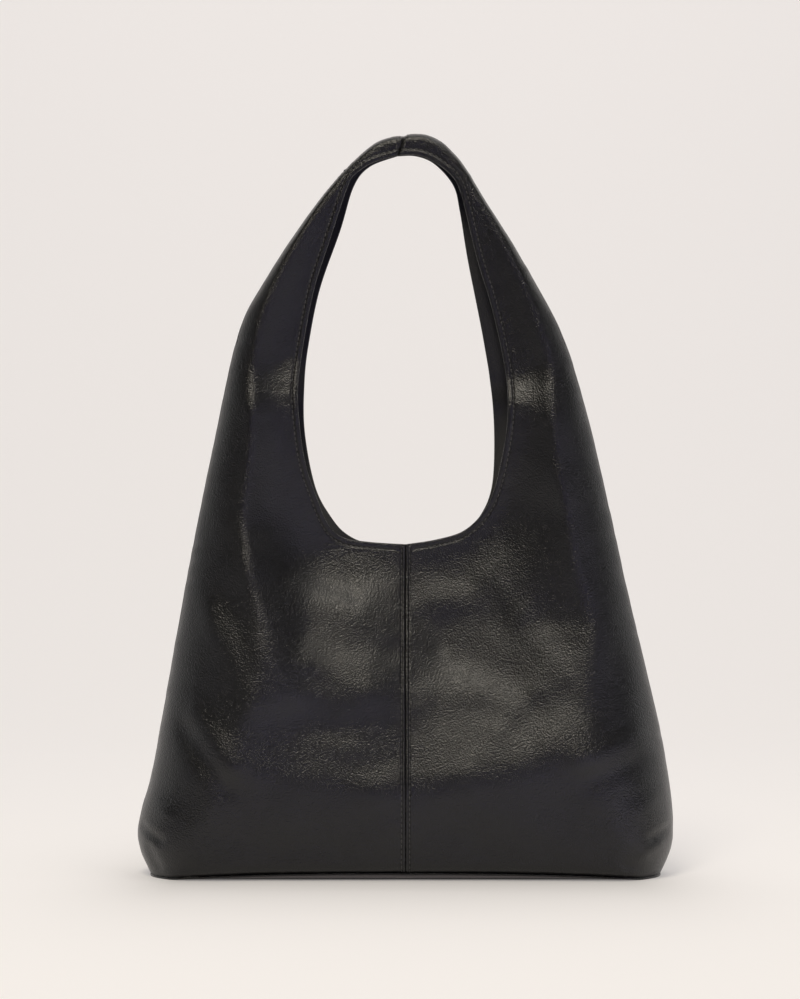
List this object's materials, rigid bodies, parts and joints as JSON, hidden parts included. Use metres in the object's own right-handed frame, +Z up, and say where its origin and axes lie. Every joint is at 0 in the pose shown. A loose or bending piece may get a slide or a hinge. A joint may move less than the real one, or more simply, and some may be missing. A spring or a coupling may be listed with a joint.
{
  "type": "hobo bag",
  "caption": "Slouchy leather shoulder bag whose panels run up into a wide arched handle, with a lined main compartment, a magnetic snap and a zipped inner pocket.",
  "frame": {"origin": "on the floor, under the middle of the bag", "axes": "+Z up through the handle, +X to the right of the front, +Y to the back"},
  "size_m": [0.3999, 0.123, 0.5538],
  "materials": {
    "outer_leather": "smooth black nappa with a fine grain and a soft sheen",
    "facing_leather": "smooth black leather, slightly matt",
    "lining_cloth": "black twill, matt",
    "base_board": "plain stiff board, matt",
    "zip_tape": "woven tape with a nylon coil",
    "metal": "satin pale gold plating",
    "thread": "waxed black sewing thread"
  },
  "bodies": {
    "root": {"front_left_panel": "outer_leather", "front_left_facing": "facing_leather", "front_left_panel_fold": "outer_leather", "front_left_facing_fold": "facing_leather", "front_right_panel": "outer_leather", "front_right_facing": "facing_leather", "front_right_panel_fold": "outer_leather", "front_right_facing_fold": "facing_leather", "back_left_panel": "outer_leather", "back_left_facing": "facing_leather", "back_left_panel_fold": "outer_leather", "back_left_facing_fold": "facing_leather", "back_right_panel": "outer_leather", "back_right_facing": "facing_leather", "back_right_panel_fold": "outer_leather", "back_right_facing_fold": "facing_leather", "base_panel": "outer_leather", "base_board": "base_board", "base_lining": "lining_cloth", "front_lining": "lining_cloth", "back_lining": "lining_cloth", "snap_socket": "metal", "snap_stud": "metal", "snap_front_washer": "metal", "snap_back_washer": "metal", "zip_welt": "facing_leather", "zip_upper_tape": "zip_tape", "zip_lower_tape": "zip_tape", "zip_left_stop": "metal", "zip_right_stop": "metal", "slip_pocket": "lining_cloth", "pocket_bag": "lining_cloth"},
    "handle": {"front_left_panel_handle": "outer_leather", "front_left_facing_handle": "facing_leather", "front_right_panel_handle": "outer_leather", "front_right_facing_handle": "facing_leather", "back_left_panel_handle": "outer_leather", "back_left_facing_handle": "facing_leather", "back_right_panel_handle": "outer_leather", "back_right_facing_handle": "facing_leather"},
    "zip_slider": {"zip_slider": "metal"},
    "zip_pull": {"zip_pull_stirrup": "metal", "zip_pull_tab": "facing_leather"}
  },
  "joints": [
    {"name": "handle_fold", "type": "hinge", "parent": "root", "child": "handle", "pos_m": [0, 0, 0.33], "axis": [1, 0, 0], "range_deg": [-90, 90], "deforming": ["front_left_panel_fold", "front_left_facing_fold", "front_right_panel_fold", "front_right_facing_fold", "back_left_panel_fold", "back_left_facing_fold", "back_right_panel_fold", "back_right_facing_fold"]},
    {"name": "zip_slide", "type": "slide", "parent": "root", "child": "zip_slider", "axis": [1, 0, 0], "range_m": [-0.125, 0]},
    {"name": "zip_pull_swing", "type": "hinge", "parent": "zip_slider", "child": "zip_pull", "pos_m": [0.062, 0.01252, 0.16407], "axis": [1, 0, 0], "range_deg": [-40, 8]}
  ]
}
